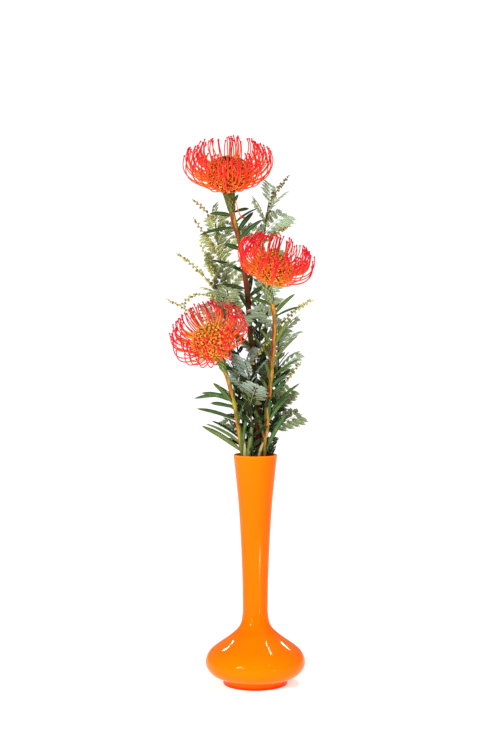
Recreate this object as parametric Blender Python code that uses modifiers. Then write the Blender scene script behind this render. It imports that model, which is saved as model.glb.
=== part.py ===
"""Three pincushion proteas with silver wattle in a tall bud vase.

Metres, +Z up. The origin is the centre of the vase's foot, and -Y is the side seen first.
Lengths are written in millimetres, and MM turns them into metres where a solid is made.
"""

import math
import random

import bmesh
import bpy
from mathutils import Matrix, Vector
from mathutils.bvhtree import BVHTree

MM = 0.001
CLEARANCE = 0.3
SEED = 7
GOLDEN_ANGLE = math.radians(137.508)
UP = Vector((0, 0, 1))

# Colour and roughness of each kind of piece.
FINISHES = {
    "glass": ((1.0, 0.26, 0.01), 0.12),
    "water": ((0.75, 0.85, 0.85), 0.05),
    "leafy": ((0.07, 0.17, 0.06), 0.5),
    "flower": ((0.85, 0.09, 0.03), 0.5),
    "wattle": ((0.22, 0.33, 0.24), 0.6),
    "buds": ((0.5, 0.45, 0.08), 0.6),
}

# Bud vase: (radius, height) down its two sides, from the lip.
VASE_STEPS = 24
LIP_HEIGHT = 260.0
VASE_OUTSIDE = [
    (24.6, 258.8), (18.7, 200), (15.4, 140), (14.3, 95), (14.8, 77), (18.4, 65), (29.2, 54.5),
    (48.4, 40.5), (54.9, 32), (56.5, 25), (55, 19), (50.5, 13), (43.6, 9), (36.6, 6.9), (36.6, 0.9),
    (35.7, 0), (0, 0),
]
VASE_INSIDE = [
    (22.0, 258.8), (15.6, 200), (12.2, 140), (11.5, 77), (15.2, 63), (27.2, 51.5), (46, 37.8),
    (51.3, 31), (51.8, 20), (42, 11.5), (30, 8.5), (0, 8.5),
]
WATER_LEVEL = 122.0
HOLE_SIDES = 6
HOLE_MARGIN = 0.9

# Flower stems: where each stands in the neck, its points above that, its radius low down and
# under the head, and the head's base, size and lean (degrees to the right, then along Y).
# Leaves at the sides, each (height on the stem, azimuth, degrees off the stem, length), and
# leaves by rule: (height of the first, step up the stem, how many), (length, spread).
STEM_CUT = 9.0
STRAIGHT_TO = 130.0
ROUTE_SPACING = 18.0
FLOWERS = {
    "protea_top": {
        "neck": (0.3, 5.6),
        "route": [(3, 8, 258), (1.9, 12, 311), (-1.5, 14, 354), (-6, 14.5, 399), (-8.7, 14.5, 439),
                  (-11.6, 14, 461), (-17.2, 13, 498), (-24.5, 11.5, 523)],
        "radius": (3.0, 6.9), "base": (-29.4, 5, 556), "lean": (-2, -26), "head": 0.97,
        "side_leaves": [
            (535, -20, 30, 18), (530, 20, 82, 20), (527, 190, 68, 26), (519, -10, 68, 31),
            (514, 172, 80, 42), (509, 15, 50, 29), (501, -25, 62, 37), (489, 200, 58, 22),
            (464, 190, 56, 40), (456, 30, 60, 30), (445, 175, 70, 36), (436, 10, 56, 26),
            (425, -15, 44, 22),
        ],
        "leaves": (264, 14.4, 13), "leaf": (46, 44), "width": 5.6, "phase": 200,
    },
    "protea_right": {
        "neck": (6.0, -3.2),
        "route": [(9.1, -3, 259), (12.7, -5.5, 286), (14.1, -7.5, 312), (16.8, -9.5, 339),
                  (19.3, -11.5, 369), (21.3, -13, 400), (20.2, -13.6, 422)],
        "radius": (2.4, 5.6), "base": (15, -18, 453), "lean": (17, -21), "head": 0.87,
        "side_leaves": [
            (427, 190, 48, 27), (417, -12, 42, 33), (414, 12, 66, 32), (378, 175, 31, 28),
            (363, -8, 31, 42), (345, 8, 43, 38), (343, 200, 16, 24), (334, -15, 36, 26),
            (322, 10, 30, 28), (330, 165, 34, 22), (317, 195, 26, 26), (306, -6, 36, 50),
            (277, 190, 20, 42), (258, -5, 20, 58), (262, 20, 14, 36), (336, -95, 9, 30),
            (298, -80, 7, 30), (260, 178, 9, 20),
        ],
        "leaves": (262, 17.0, 8), "leaf": (42, 30), "width": 5.0, "phase": 60,
    },
    "protea_left": {
        "neck": (-5.6, -3.4),
        "route": [(-13.8, -8, 260), (-17.7, -10, 282), (-21.5, -12.5, 308), (-27.5, -15.5, 334),
                  (-32, -17.6, 350)],
        "radius": (2.5, 4.9), "base": (-43, -24, 377), "lean": (-22, -40), "head": 0.87,
        "side_leaves": [
            (327, 178, 76, 42), (322, 196, 56, 37), (313, 168, 62, 28), (299, 186, 58, 47),
            (296, 206, 30, 34), (274, 172, 46, 44), (264, 188, 40, 54), (258, -60, 4, 40),
            (258, 230, 2, 22),
        ],
        "leaves": (266, 13.0, 5), "leaf": (40, 36), "width": 5.6, "phase": 20,
    },
}
PEDUNCLE = 30.0
LEAF_THICKNESS = 0.9
LEAF_DROOP = 12.0
LEAF_ROLL = (35, 75)
BRACT_ROWS = [(4.0, 5), (10.0, 5)]
BRACT = (9.0, 5.0)

# Flower head of size 1: a dome of florets, and rings of pins from the outside in, each pin on
# a Bezier curve of (distance from the axis, height).
DOME_RADIUS = 24.5
DOME_HEIGHT = 37.0
DOME_ROUND = 20
DOME_RINGS = 8
FLORET_RELIEF = 1.7
PIN_RADIUS = 0.62
PIN_STATIONS = [(0.0, 1.3), (0.42, 1.05), (0.8, 0.9), (1.0, 1.35)]
PIN_RINGS = [
    (13, [(11, 4), (33, 4), (60, 12), (50, 41)]),
    (11, [(15, 9), (38, 10), (56, 23), (45, 46)]),
    (9, [(16, 15), (36, 20), (49, 32), (38, 50)]),
    (5, [(13, 21), (30, 29), (38, 40), (28, 52)]),
]

# Wattle sprays. The fronds stand on the branch from a height up, and each raceme has its own
# (height on the branch, azimuth, degrees off the branch, further bend, length).
WATTLES = {
    "wattle_back_left": {
        "neck": (-6.5, 5.0),
        "route": [(-8, 12, 258), (-13, 19, 310), (-19, 24, 370), (-28, 26, 425), (-39, 26, 475),
                  (-46, 24, 525)],
        "fronds": 12, "from": 392, "phase": 150,
        "racemes": [(484, 208, 26, 4, 50), (521, 205, 28, 20, 34)],
    },
    "wattle_back_right": {
        "neck": (7.6, 4.2),
        "route": [(9, 12, 258), (9, 21, 310), (6, 30, 370), (4, 34, 430), (8, 32, 490),
                  (16, 28, 548)],
        "fronds": 12, "from": 404, "phase": 20,
        "racemes": [(545, 10, 22, 16, 34), (497, -35, 42, 24, 38), (520, 80, 30, 20, 40)],
    },
    "wattle_front": {
        "neck": (0.2, -7.8),
        "route": [(-3, -11, 258), (-4, -14, 290), (-6, -17, 325), (-9, -20, 362)],
        "fronds": 8, "from": 306, "phase": 150,
        "racemes": [(358, 10, 36, 10, 34)],
    },
    "wattle_right": {
        "neck": (3.0, 0.5),
        "route": [(15, 4, 258), (21, 7, 290), (25, 9, 330), (26, 9, 370), (26, 6, 408)],
        "fronds": 10, "from": 282, "phase": 10,
        "racemes": [(404, 0, 40, 22, 46), (326, 15, 24, 10, 44)],
    },
    "wattle_left": {
        "neck": (-3.2, 1.2),
        "route": [(-11, 3, 258), (-16, 4, 310), (-24, 7, 354), (-32, 9, 399), (-38.5, 8, 433),
                  (-46, 6, 451)],
        "fronds": 10, "from": 270, "phase": 240,
        "racemes": [(446, 186, 14, 20, 58), (440, 75, 16, -10, 62), (428, 192, 24, 110, 52),
                    (394, 176, 44, 10, 78)],
    },
    "wattle_back": {
        "neck": (5.2, 7.6),
        "route": [(4, 14, 258), (6, 26, 300), (10, 38, 345), (12, 47, 395)],
        "fronds": 9, "from": 264, "phase": 90,
        "racemes": [(391, 100, 24, 20, 46), (350, 60, 34, 20, 46)],
    },
}
BRANCH_RADIUS = (1.3, 0.8)
FROND_LENGTH = 34.0
FROND_WIDTH = 27.0
FROND_SPREAD = 38.0
FROND_DROOP = 18.0
FROND_ROLL = 55
FROND_PAIRS = [0.85, 1.0, 0.75]
FROND_RIB = 0.8
FROND_THICKNESS = 0.9
STALK_RADIUS = 0.55
BUD_RADIUS = 1.75
BUD_OFFSET = 1.1
BUD_PITCH = 6.0

# A leaf that would cross another piece turns round its stem, or stands closer to it, in this order.
TURNS = [0, 14, -14, 28, -28, 44, -44, 62, -62]
CLOSER = [1.0, 0.7, 0.42]
KEEP_OFF = 0.7


def clear_scene():
    for item in list(bpy.data.objects):
        bpy.data.objects.remove(item)


def new_collection(name):
    made = bpy.data.collections.new(name)
    bpy.context.scene.collection.children.link(made)
    return made


def paint(thing, kind):
    """Gives an object its own Principled material of one kind."""
    colour, roughness = FINISHES[kind]
    made = bpy.data.materials.new(thing.name)
    made.use_nodes = True
    shader = made.node_tree.nodes["Principled BSDF"]
    shader.inputs["Base Color"].default_value = (*colour, 1)
    shader.inputs["Roughness"].default_value = roughness
    shader.inputs["Metallic"].default_value = 0
    thing.data.materials.clear()
    thing.data.materials.append(made)


def add_object(name, data, collection):
    made = bpy.data.objects.new(name, data)
    collection.objects.link(made)
    return made


def hide_guide(thing):
    """Keeps a cutter or a section out of the object itself."""
    thing.hide_render = True
    thing.display_type = "WIRE"


def evaluated_mesh(thing):
    bpy.context.view_layer.update()
    graph = bpy.context.evaluated_depsgraph_get()
    return bpy.data.meshes.new_from_object(thing.evaluated_get(graph))


def tidy_mesh(mesh, merge=0.0):
    """Turns a mesh's faces outwards, and first merges points that lie closer than `merge`."""
    form = bmesh.new()
    form.from_mesh(mesh)
    if merge:
        bmesh.ops.remove_doubles(form, verts=form.verts, dist=merge)
    bmesh.ops.recalc_face_normals(form, faces=form.faces)
    form.to_mesh(mesh)
    form.free()


def loft_object(name, form, collection):
    """An object from (points in millimetres, faces)."""
    points, faces = form
    mesh = bpy.data.meshes.new(name)
    mesh.from_pydata([MM * point for point in points], [], faces)
    tidy_mesh(mesh)
    return add_object(name, mesh, collection)


def smooth_route(points, spacing):
    """Points about `spacing` apart on a Catmull-Rom curve through `points`."""
    ends = [2 * points[0] - points[1], *points, 2 * points[-1] - points[-2]]
    found = [points[0]]
    for before, start, end, after in zip(ends, ends[1:], ends[2:], ends[3:]):
        steps = max(1, round((end - start).length / spacing))
        for step in range(1, steps + 1):
            t = step / steps
            found.append(0.5 * (
                2 * start + (end - before) * t
                + (2 * before - 5 * start + 4 * end - after) * t ** 2
                + (3 * start - before - 3 * end + after) * t ** 3
            ))
    return found


def at_height(route, height):
    """(place, direction) where a route passes a height."""
    for low, high in zip(route, route[1:]):
        if low.z <= height <= high.z:
            share = (height - low.z) / (high.z - low.z)
            return low.lerp(high, share), (high - low).normalized()
    return route[-1], (route[-1] - route[-2]).normalized()


def sideways(direction, azimuth):
    """The unit vector square to `direction` that points to `azimuth`, counted from +X."""
    flat = Vector((math.cos(azimuth), math.sin(azimuth), 0))
    return (flat - flat.dot(direction) * direction).normalized()


def smooth_step(value):
    value = min(1.0, max(0.0, value))
    return value * value * (3 - 2 * value)


def tube_section(name, sides, collection):
    """A closed outline of radius 1 mm, for sweeping tubes."""
    curve = bpy.data.curves.new(name, "CURVE")
    line = curve.splines.new("POLY")
    line.points.add(sides - 1)
    for index, knot in enumerate(line.points):
        angle = math.tau * index / sides
        knot.co = (MM * math.cos(angle), MM * math.sin(angle), 0, 1)
    line.use_cyclic_u = True
    made = add_object(name, curve, collection)
    hide_guide(made)
    return made


def tube(name, points, radii, section, collection):
    """A capped tube of varying radius, swept along a curve and turned into a mesh."""
    curve = bpy.data.curves.new(name, "CURVE")
    curve.dimensions = "3D"
    curve.bevel_mode = "OBJECT"
    curve.bevel_object = section
    curve.use_fill_caps = True
    line = curve.splines.new("POLY")
    line.points.add(len(points) - 1)
    for knot, point, radius in zip(line.points, points, radii):
        knot.co = (*(MM * point), 1)
        knot.radius = radius
    swept = add_object(name + "_line", curve, collection)
    mesh = evaluated_mesh(swept)
    bpy.data.objects.remove(swept)
    tidy_mesh(mesh, merge=0.00001)
    return add_object(name, mesh, collection)


def fuse(body, pieces):
    """Joins the pieces to the body with one Boolean union, and removes them.

    The exact solver leaves pinched edges where the thin pieces cross, so this is the manifold one.
    """
    group = new_collection(body.name + "_repeats")
    for piece in pieces:
        for owner in list(piece.users_collection):
            owner.objects.unlink(piece)
        group.objects.link(piece)
    union = body.modifiers.new("Union", "BOOLEAN")
    union.operation = "UNION"
    union.operand_type = "COLLECTION"
    union.collection = group
    union.solver = "MANIFOLD"
    joined = evaluated_mesh(body)
    body.modifiers.clear()
    body.data = joined
    for piece in pieces:
        bpy.data.objects.remove(piece)
    bpy.data.collections.remove(group)


class Placed:
    """The pieces placed so far, each with its owner, so that the next ones stay clear of them."""

    def __init__(self):
        self.trees = []

    def add(self, owner, thing):
        mesh = evaluated_mesh(thing)
        points = [thing.matrix_world @ corner.co for corner in mesh.vertices]
        faces = [tuple(face.vertices) for face in mesh.polygons]
        self.trees.append((owner, BVHTree.FromPolygons(points, faces)))

    def crosses(self, owner, form):
        """Whether a form of (points in millimetres, faces) crosses a piece of another owner."""
        points, faces = form
        tree = BVHTree.FromPolygons([MM * point for point in points], faces)
        return any(other != owner and placed.overlap(tree) for other, placed in self.trees)

    def first_clear(self, owner, form_for):
        """The first (turn, closeness) whose form crosses nothing, or None."""
        for closer in CLOSER:
            for turn in TURNS:
                if not self.crosses(owner, form_for(math.radians(turn), closer)):
                    return math.radians(turn), closer
        return None


def turned(name, outline, collection):
    """A solid turned about Z from (radius, height) points that run down its outside."""
    mesh = bpy.data.meshes.new(name)
    points = [MM * Vector((radius, 0, height)) for radius, height in outline]
    mesh.from_pydata(points, [(i, i + 1) for i in range(len(points) - 1)], [])
    made = add_object(name, mesh, collection)
    screw = made.modifiers.new("Turn", "SCREW")
    screw.steps = screw.render_steps = VASE_STEPS
    screw.use_merge_vertices = True
    screw.merge_threshold = 0.00005
    return made


def inset(profile, distance):
    """A profile that runs down an inner wall, moved in from the wall by a distance."""
    moved = []
    for index, (radius, height) in enumerate(profile):
        above = Vector(profile[max(index - 1, 0)])
        below = Vector(profile[min(index + 1, len(profile) - 1)])
        slope = (above - below).normalized()
        moved.append((max(0.0, radius - distance * slope.y), height + distance * slope.x))
    return moved


def make_vase(collection):
    inner, outer = VASE_INSIDE[0][0], VASE_OUTSIDE[0][0]
    lip = [(inner + 0.35, LIP_HEIGHT), (outer - 0.6, LIP_HEIGHT)]
    vase = turned("vase", [*reversed(VASE_INSIDE), *lip, *VASE_OUTSIDE], collection)
    paint(vase, "glass")
    return vase


def make_water(holes, collection):
    """The water up to its level, with a plain hole for each stem (place, radius)."""
    wall = inset(VASE_INSIDE, CLEARANCE)
    under = [point for point in wall if point[1] < WATER_LEVEL]
    over = wall[len(wall) - len(under) - 1]
    share = (WATER_LEVEL - under[0][1]) / (over[1] - under[0][1])
    shore = under[0][0] + share * (over[0] - under[0][0])
    water = turned("water", [(0, WATER_LEVEL), (shore, WATER_LEVEL), *under], collection)
    paint(water, "water")
    cutters = new_collection("stem_holes")
    for (x, y), radius in holes:
        size = MM * (radius + HOLE_MARGIN)
        form = bmesh.new()
        bmesh.ops.create_cone(
            form, cap_ends=True, segments=HOLE_SIDES, depth=MM * 2 * WATER_LEVEL,
            radius1=size, radius2=size,
        )
        mesh = bpy.data.meshes.new("stem_hole")
        form.to_mesh(mesh)
        form.free()
        cutter = add_object("stem_hole", mesh, cutters)
        cutter.location = MM * Vector((x, y, WATER_LEVEL / 2))
        hide_guide(cutter)
    cut = water.modifiers.new("Holes", "BOOLEAN")
    cut.operation = "DIFFERENCE"
    cut.operand_type = "COLLECTION"
    cut.collection = cutters


def head_axis(flower):
    """The way a flower head faces."""
    right, along = (math.radians(angle) for angle in flower["lean"])
    across = math.cos(along)
    return Vector((math.sin(right) * across, math.sin(along), math.cos(right) * across))


def stem_route(plant):
    """A stem's line: straight up through the water, then through its own points."""
    x, y = plant["neck"]
    points = [Vector((x, y, STRAIGHT_TO)), *[Vector(point) for point in plant["route"]]]
    if "base" in plant:
        axis = head_axis(plant)
        base = Vector(plant["base"])
        points += [base - 8 * axis, base - CLEARANCE * axis]
    return [Vector((x, y, STEM_CUT)), *smooth_route(points, ROUTE_SPACING)]


def below_tip(route, distance):
    """(place, direction) on a route, so far below its end."""
    for low, high in zip(reversed(route[:-1]), reversed(route[1:])):
        step = (high - low).length
        if distance <= step:
            break
        distance -= step
    return high.lerp(low, distance / step), (high - low).normalized()


def stem_radius(flower, below_head):
    """Even up to the peduncle, which swells to carry the head."""
    low, high = flower["radius"]
    return low + (high - low) * smooth_step(1 - below_head / PEDUNCLE)


def branch_radius(route, height):
    """A wattle branch thins evenly from its cut end to its tip."""
    low, high = BRANCH_RADIUS
    return low + (high - low) * (height - route[0].z) / (route[-1].z - route[0].z)


def bare_stem(name, flower, section, collection):
    route = stem_route(flower)
    below = [0.0]
    for high, low in zip(reversed(route), reversed(route[:-1])):
        below.append(below[-1] + (high - low).length)
    radii = [stem_radius(flower, distance) for distance in reversed(below)]
    return tube(name, route, radii, section, collection)


def bare_branch(name, wattle, section, collection):
    route = stem_route(wattle)
    radii = [branch_radius(route, point.z) for point in route]
    return tube(name, route, radii, section, collection)


def midrib(root, up, outward, length, spread, droop, steps):
    """A line that leaves its stem `spread` degrees off it and bends by `droop` degrees more."""
    points = [root]
    for step in range(steps):
        angle = math.radians(spread + droop * step / max(1, steps - 1))
        way = math.cos(angle) * up + math.sin(angle) * outward
        points.append(points[-1] + length / steps * way)
    return points


def blade(line, side, widths, thickness, keel=0.18, sweeps=None):
    """A loft along a midrib to its tip, in four-cornered sections that are thick at the rib.

    `keel` lifts the edges, and a section's own sweep carries its edges forward, into a lobe.
    """
    sweeps = sweeps or [0.0] * len(widths)
    points = []
    for place, after, width, sweep in zip(line, line[1:], widths, sweeps):
        along = (after - place).normalized()
        normal = side.cross(along).normalized()
        edge = keel * width * normal + sweep * along
        points += [
            place - width * side + edge,
            place + 0.5 * thickness * normal,
            place + width * side + edge,
            place - 0.5 * thickness * normal,
        ]
    faces = [(3, 2, 1), (3, 1, 0)]
    for ring in range(0, len(points) - 4, 4):
        for edge, rib in ((0, 1), (2, 1), (0, 3), (2, 3)):
            outer, inner = ring + edge, ring + rib
            faces += [(outer, inner, outer + 4), (inner, inner + 4, outer + 4)]
    last = len(points) - 4
    points.append(line[-1])
    faces += [(last + corner, last + (corner + 1) % 4, last + 4) for corner in range(4)]
    return points, faces


def rolled_side(line, up, outward, roll):
    """Which way a blade lies: square to its stem, then rolled round its own midrib."""
    along = (line[1] - line[0]).normalized()
    return Matrix.Rotation(roll, 3, along) @ up.cross(outward).normalized()


def protea_leaf(root, up, outward, length, width, spread, roll, grow=0.0):
    """A protea leaf: a narrow strap with a short point."""
    line = midrib(root, up, outward, length + grow, spread, LEAF_DROOP, 3)
    widths = [0.5 * width * share + grow for share in (0.5, 1.0, 0.95)]
    return blade(line, rolled_side(line, up, outward, roll), widths, LEAF_THICKNESS + 2 * grow)


def bract(root, up, outward):
    """A short pointed scale that lies against the peduncle."""
    length, width = BRACT
    line = midrib(root, up, outward, length, 24, -10, 2)
    return blade(line, up.cross(outward).normalized(), [0.4 * width, 0.5 * width], 1.2)


def frond(root, up, outward, size, spread, roll, grow=0.0):
    """A wattle leaf: one arched blade cut to its rib into pairs of forward-pointing pinnae."""
    length = size * FROND_LENGTH
    steps = 2 * len(FROND_PAIRS)
    line = midrib(root, up, outward, length + grow, spread, FROND_DROOP, steps)
    widths, sweeps = [], []
    for share in FROND_PAIRS:
        widths += [FROND_RIB + grow, 0.5 * size * FROND_WIDTH * share + grow]
        sweeps += [0.0, 0.7 * length / steps]
    side = rolled_side(line, up, outward, roll)
    return blade(line, side, widths, FROND_THICKNESS + 2 * grow, 0.1, sweeps)


def pin(name, curve, azimuth, size, section, collection):
    """A tapered style on a Bezier arc out of the dome, with its club at the tip."""
    ray = Vector((math.cos(azimuth), math.sin(azimuth), 0))
    a, b, c, d = (size * (radius * ray + height * UP) for radius, height in curve)
    points = []
    for t, _ in PIN_STATIONS:
        early = (1 - t) ** 3 * a + 3 * t * (1 - t) ** 2 * b
        points.append(early + 3 * t * t * (1 - t) * c + t ** 3 * d)
    radii = [PIN_RADIUS * share for _, share in PIN_STATIONS]
    return tube(name, points, radii, section, collection)


def make_dome(name, size, collection):
    """The florets: a flattened sphere on a flat base, raised at every second point."""
    form = bmesh.new()
    bmesh.ops.create_uvsphere(form, u_segments=DOME_ROUND, v_segments=DOME_RINGS, radius=1)
    for corner in form.verts:
        ring = round(math.acos(max(-1.0, min(1.0, corner.co.z))) * DOME_RINGS / math.pi)
        around = round(math.atan2(corner.co.y, corner.co.x) * DOME_ROUND / math.tau)
        based = ring >= DOME_RINGS - 1
        raised = FLORET_RELIEF if (around + ring) % 2 and ring and not based else 0.0
        reach = DOME_RADIUS + raised
        height = 0.0 if based else 0.5 * DOME_HEIGHT * (1 + corner.co.z) + 0.5 * raised
        corner.co = MM * size * Vector((reach * corner.co.x, reach * corner.co.y, height))
    mesh = bpy.data.meshes.new(name)
    form.to_mesh(mesh)
    form.free()
    return add_object(name, mesh, collection)


def make_head(name, flower, section, collection):
    """A flower head: the dome of florets with its rings of curved pins."""
    head = make_dome(name, flower["head"], collection)
    draw = random.Random(SEED + len(name))
    pins = []
    for ring, (count, curve) in enumerate(PIN_RINGS):
        for index in range(count):
            azimuth = math.tau * (index + 0.37 * ring) / count + draw.uniform(-0.09, 0.09)
            reach = flower["head"] * draw.uniform(0.96, 1.03)
            pins.append(pin(f"pin_{ring}_{index}", curve, azimuth, reach, section, collection))
    fuse(head, pins)
    turn = UP.rotation_difference(head_axis(flower)).to_matrix().to_4x4()
    head.matrix_world = Matrix.Translation(MM * Vector(flower["base"])) @ turn
    paint(head, "flower")
    return head


def leaf_plan(flower, seed):
    """(height, azimuth, spread, length, roll) of each leaf: those at the sides, then by rule."""
    draw = random.Random(seed)
    plan = [(height, math.radians(turn), spread, length)
            for height, turn, spread, length in flower["side_leaves"]]
    first, step, count = flower["leaves"]
    length, spread = flower["leaf"]
    for index in range(count):
        azimuth = math.radians(flower["phase"]) + index * GOLDEN_ANGLE
        long = length * draw.uniform(0.8, 1.1)
        plan.append((first + step * index, azimuth, spread * draw.uniform(0.8, 1.2), long))
    return [(*leaf, draw.choice((-1, 1)) * math.radians(draw.uniform(*LEAF_ROLL))) for leaf in plan]


def add_leaves(stem, flower, placed, collection):
    """Adds the leaves and the bracts to a bare stem."""
    route = stem_route(flower)
    pieces = []
    plan = leaf_plan(flower, SEED * 3 + len(stem.name))
    for index, (height, azimuth, spread, length, roll) in enumerate(plan):
        root, up = at_height(route, height)

        def form_for(turn, closer, grow=KEEP_OFF):
            outward = sideways(up, azimuth + turn)
            start = root + 0.3 * flower["radius"][0] * outward
            return protea_leaf(start, up, outward, length, flower["width"], spread * closer, roll, grow)

        found = placed.first_clear(stem.name, form_for)
        if found:
            leaf = loft_object(f"leaf_{index}", form_for(*found, grow=0.0), collection)
            pieces.append(leaf)
            placed.add(f"{stem.name}_{index}", leaf)
    for row, (drop, around) in enumerate(BRACT_ROWS):
        below = drop + BRACT[0]
        place, up = below_tip(route, below)
        for index in range(around):
            outward = sideways(up, math.tau * (index + 0.5 * row) / around)
            root = place + 0.6 * stem_radius(flower, below) * outward
            form = bract(root, up, outward)
            pieces.append(loft_object(f"bract_{row}_{index}", form, collection))
    fuse(stem, pieces)
    paint(stem, "leafy")


def add_fronds(branch, wattle, placed, collection):
    """Adds the fronds to a bare wattle branch."""
    route = stem_route(wattle)
    low, high = wattle["from"], route[-1].z
    draw = random.Random(SEED * 11 + len(branch.name))
    pieces = []
    for index in range(wattle["fronds"]):
        root, up = at_height(route, low + (high - low) * (index + 0.5) / wattle["fronds"])
        azimuth = math.radians(wattle["phase"]) + index * GOLDEN_ANGLE
        spread = FROND_SPREAD * draw.uniform(0.85, 1.15)
        size = draw.uniform(0.85, 1.15)
        roll = math.radians(draw.uniform(-FROND_ROLL, FROND_ROLL))

        def form_for(turn, closer, grow=KEEP_OFF):
            outward = sideways(up, azimuth + turn)
            grown = size * (0.4 + 0.6 * closer)
            return frond(root, up, outward, grown, spread * closer, roll, grow)

        found = placed.first_clear(branch.name, form_for)
        if found:
            piece = loft_object(f"frond_{index}", form_for(*found, grow=0.0), collection)
            pieces.append(piece)
            placed.add(f"{branch.name}_{index}", piece)
    fuse(branch, pieces)
    paint(branch, "wattle")


def make_raceme(name, route, shape, placed, section, collection):
    """A stalk that starts just off its branch and swells into buds, left and right in turn."""
    height, azimuth, spread, bend, length = shape
    root, up = at_height(route, height)
    off = branch_radius(route, height) + CLEARANCE + STALK_RADIUS
    steps = 2 * round(length / BUD_PITCH) + 1

    def line_for(turn, closer):
        outward = sideways(up, math.radians(azimuth) + turn)
        line = midrib(root + off * outward, up, outward, length, spread + 12 * (1 - closer), bend, steps)
        return line, up.cross(outward).normalized()

    def form_for(turn, closer):
        line, side = line_for(turn, closer)
        half = BUD_RADIUS + KEEP_OFF
        return blade(line[2:], side, [half + BUD_OFFSET] * (steps - 2), 2 * half, 0.0)

    found = placed.first_clear(name, form_for)
    if not found:
        return
    line, side = line_for(*found)
    points, radii = [], []
    for index, place in enumerate(line):
        bud = index % 2 == 0 and index > 0
        way = 1 if index % 4 == 0 else -1
        points.append(place + way * BUD_OFFSET * side if bud else place)
        radii.append(BUD_RADIUS if bud else STALK_RADIUS)
    raceme = tube(name, points, radii, section, collection)
    placed.add(name, raceme)
    paint(raceme, "buds")


def main():
    clear_scene()
    collection = new_collection("pincushion_proteas")
    guides = new_collection("tube_sections")
    thin = tube_section("three_sided", 3, guides)
    slim = tube_section("four_sided", 4, guides)
    stout = tube_section("six_sided", 6, guides)
    placed = Placed()
    placed.add("vase", make_vase(collection))
    stems = {name: bare_stem(name + "_stem", FLOWERS[name], stout, collection) for name in FLOWERS}
    branches = {name: bare_branch(name + "_spray", WATTLES[name], slim, collection) for name in WATTLES}
    holes = [(plant["neck"], plant["radius"][0]) for plant in FLOWERS.values()]
    holes += [(plant["neck"], BRANCH_RADIUS[0]) for plant in WATTLES.values()]
    make_water(holes, collection)
    for thing in [*stems.values(), *branches.values()]:
        placed.add(thing.name, thing)
    for name, flower in FLOWERS.items():
        head = make_head(name + "_head", flower, thin, collection)
        placed.add(head.name, head)
    for name, wattle in WATTLES.items():
        for index, shape in enumerate(wattle["racemes"]):
            label = f"{name}_raceme_{index + 1}"
            make_raceme(label, stem_route(wattle), shape, placed, slim, collection)
    for name, flower in FLOWERS.items():
        add_leaves(stems[name], flower, placed, collection)
    for name, wattle in WATTLES.items():
        add_fronds(branches[name], wattle, placed, collection)


main()
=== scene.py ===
"""The looks of three pincushion proteas with silver wattle in a tall bud vase.

Lengths are written in millimetres, and MM turns them into metres where a mesh is made.
The origin is the centre of the vase's foot, and -Y is the side seen first.
"""

import math
import random

import bmesh
import bpy
from mathutils import Matrix, Vector
from mathutils.bvhtree import BVHTree

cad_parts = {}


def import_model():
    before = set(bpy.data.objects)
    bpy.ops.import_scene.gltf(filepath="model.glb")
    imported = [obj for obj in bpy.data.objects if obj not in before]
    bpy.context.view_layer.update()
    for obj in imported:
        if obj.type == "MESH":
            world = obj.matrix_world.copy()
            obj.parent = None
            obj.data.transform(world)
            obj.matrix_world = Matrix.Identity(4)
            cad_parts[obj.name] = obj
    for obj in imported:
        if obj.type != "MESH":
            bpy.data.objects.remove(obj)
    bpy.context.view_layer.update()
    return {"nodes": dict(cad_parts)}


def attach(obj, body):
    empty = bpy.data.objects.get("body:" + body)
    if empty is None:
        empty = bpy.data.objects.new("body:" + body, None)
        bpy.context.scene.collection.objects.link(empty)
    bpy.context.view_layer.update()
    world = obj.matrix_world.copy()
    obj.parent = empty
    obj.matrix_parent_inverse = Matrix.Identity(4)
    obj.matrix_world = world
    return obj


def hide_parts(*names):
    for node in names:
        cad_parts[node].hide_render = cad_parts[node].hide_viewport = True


MM = 0.001
SEED = 7

# Each kind of part has its own stream of random draws.
STREAMS = {
    "bark": 2, "leaf plan": 3, "leaves": 5, "scales": 9, "frond plan": 11, "head": 13, "fronds": 17,
    "buds": 19,
}

GOLDEN_ANGLE = math.radians(137.508)
UP = Vector((0, 0, 1))

# The photograph's camera: its place, how far it looks down, and its lens for a 36 mm high frame.
CAMERA_PLACE = (-6.0, -1789.3, 452.6)
CAMERA_PITCH = 0.0578
CAMERA_LENS = 76.9

# Studio lights: place, the point each is turned to, width, height, watts.
BACKGROUND = 1.1
WORLD_LIGHT = 0.3
FLOOR_GLOW = 0.8
LIGHTS = {
    "key": ((-1050, -1500, 760), (0, 0, 330), 560, 220, 37),
    "window": ((870, -1085, 1235), (0, 0, 60), 220, 80, 4),
    "low right": ((326, -397, 16), (0, 0, 139), 50, 24, 0.8),
    "low left": ((-913, -1822, 284), (0, 0, 60), 420, 60, 5),
    "overhead": ((452, 302, 1336), (0, 0, 50), 300, 30, 5),
    "rear left": ((-986, 1098, 1253), (0, 0, 60), 50, 140, 2.6),
    "rear right": ((936, 1287, 1091), (0, 0, 60), 50, 140, 2.4),
}
FLOOR_SIZE = 16000.0

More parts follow.
